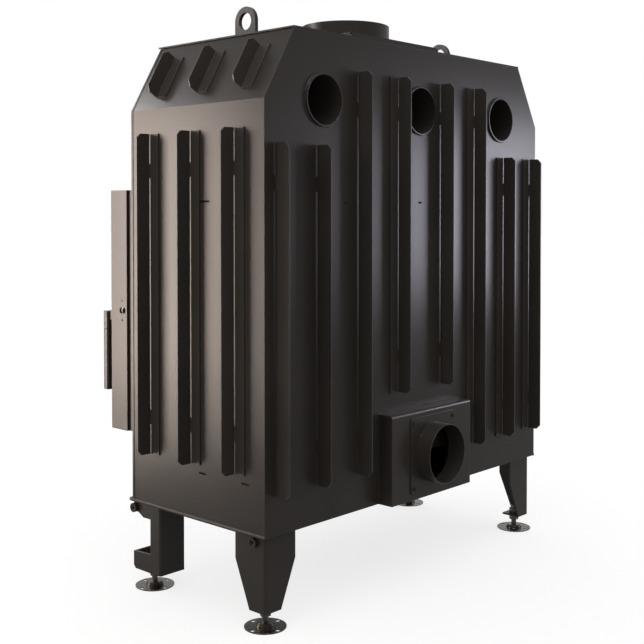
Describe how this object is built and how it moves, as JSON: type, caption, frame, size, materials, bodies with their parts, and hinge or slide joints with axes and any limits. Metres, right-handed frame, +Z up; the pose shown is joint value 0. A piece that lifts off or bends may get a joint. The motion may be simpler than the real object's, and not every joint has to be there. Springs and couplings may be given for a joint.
{
  "type": "fireplace insert",
  "caption": "Free-standing steel fireplace insert with finned walls, convection tubes, rear air spigot, top flue collar, glazed hinged door and levelling feet.",
  "frame": {"origin": "on the floor, in the middle of the whole insert's footprint box", "axes": "+Z up, the door faces -Y, the door handle is on the +X side"},
  "size_m": [0.988, 0.577, 1.189],
  "materials": {
    "stove_paint": "satin heat-resistant paint",
    "zinc_plate": "dull zinc plate",
    "black_fastener": "black oxide",
    "lining_board": "matt vermiculite board",
    "rope_seal": "woven glass-fibre seal",
    "ceramic_glass": "clear ceramic glass",
    "cast_grate": "matt cast iron",
    "handle_black": "matt black"
  },
  "bodies": {
    "casing": {"back_panel": "stove_paint", "front_panel": "stove_paint", "side_panel_right": "stove_paint", "side_panel_left": "stove_paint", "roof_plate": "stove_paint", "base_plate": "stove_paint", "flue_base_box": "stove_paint", "flue_collar": "stove_paint", "lifting_lugs": "stove_paint", "convection_tube_right": "stove_paint", "convection_tube_middle": "stove_paint", "convection_tube_left": "stove_paint", "air_inlet_box": "stove_paint", "air_spigot": "stove_paint", "spigot_screws": "black_fastener", "back_fins_right": "stove_paint", "back_fins_left": "stove_paint", "side_fins_right": "stove_paint", "side_fins_left": "stove_paint", "shoulder_fins": "stove_paint", "rear_leg_right": "stove_paint", "rear_leg_left": "stove_paint", "front_leg_right": "stove_paint", "front_leg_left": "stove_paint", "leg_brackets": "stove_paint", "leg_bolts": "black_fastener", "foot_lock_nuts": "zinc_plate", "door_surround": "stove_paint", "door_gasket": "rope_seal", "hinge_sockets": "stove_paint", "hinge_pins": "zinc_plate", "latch_keeper": "zinc_plate", "hearth_plate": "stove_paint", "lining_brackets": "stove_paint", "floor_lining": "lining_board", "side_lining": "lining_board", "back_lining": "lining_board", "grate": "cast_grate", "baffle": "lining_board", "drawer_rails": "stove_paint", "air_port_plate": "stove_paint"},
    "door": {"door_frame": "stove_paint", "door_back_plate": "stove_paint", "door_glass": "ceramic_glass", "glass_tape": "rope_seal", "glass_clips": "stove_paint", "hinge_knuckles": "stove_paint", "handle_bearing": "zinc_plate", "bearing_screws": "black_fastener", "handle_plate": "stove_paint"},
    "handle": {"handle_shaft": "zinc_plate", "handle_arm": "stove_paint", "handle_grip": "handle_black", "latch_hook": "zinc_plate"},
    "ash_drawer": {"ash_drawer": "stove_paint"},
    "air_slide": {"air_slide": "zinc_plate"},
    "foot_rear_right_body": {"foot_rear_right": "zinc_plate"},
    "foot_rear_left_body": {"foot_rear_left": "zinc_plate"},
    "foot_front_right_body": {"foot_front_right": "zinc_plate"},
    "foot_front_left_body": {"foot_front_left": "zinc_plate"}
  },
  "joints": [
    {"name": "door_hinge", "type": "hinge", "parent": "casing", "child": "door", "pos_m": [-0.454, -0.18655, 0.57], "axis": [0, 0, -1], "range_deg": [0, 105]},
    {"name": "handle_turn", "type": "hinge", "parent": "door", "child": "handle", "pos_m": [0.442, -0.20525, 0.5697], "axis": [-1, 0, 0], "range_deg": [0, 25]},
    {"name": "drawer_slide", "type": "slide", "parent": "casing", "child": "ash_drawer", "axis": [0, -1, 0], "range_m": [0, 0.25]},
    {"name": "air_slide_travel", "type": "slide", "parent": "casing", "child": "air_slide", "axis": [1, 0, 0], "range_m": [0, 0.03]},
    {"name": "foot_rear_right_level", "type": "slide", "parent": "casing", "child": "foot_rear_right_body", "axis": [0, 0, -1], "range_m": [-0.01, 0.015]},
    {"name": "foot_rear_left_level", "type": "slide", "parent": "casing", "child": "foot_rear_left_body", "axis": [0, 0, -1], "range_m": [-0.01, 0.015]},
    {"name": "foot_front_right_level", "type": "slide", "parent": "casing", "child": "foot_front_right_body", "axis": [0, 0, -1], "range_m": [-0.01, 0.015]},
    {"name": "foot_front_left_level", "type": "slide", "parent": "casing", "child": "foot_front_left_body", "axis": [0, 0, -1], "range_m": [-0.01, 0.015]}
  ]
}
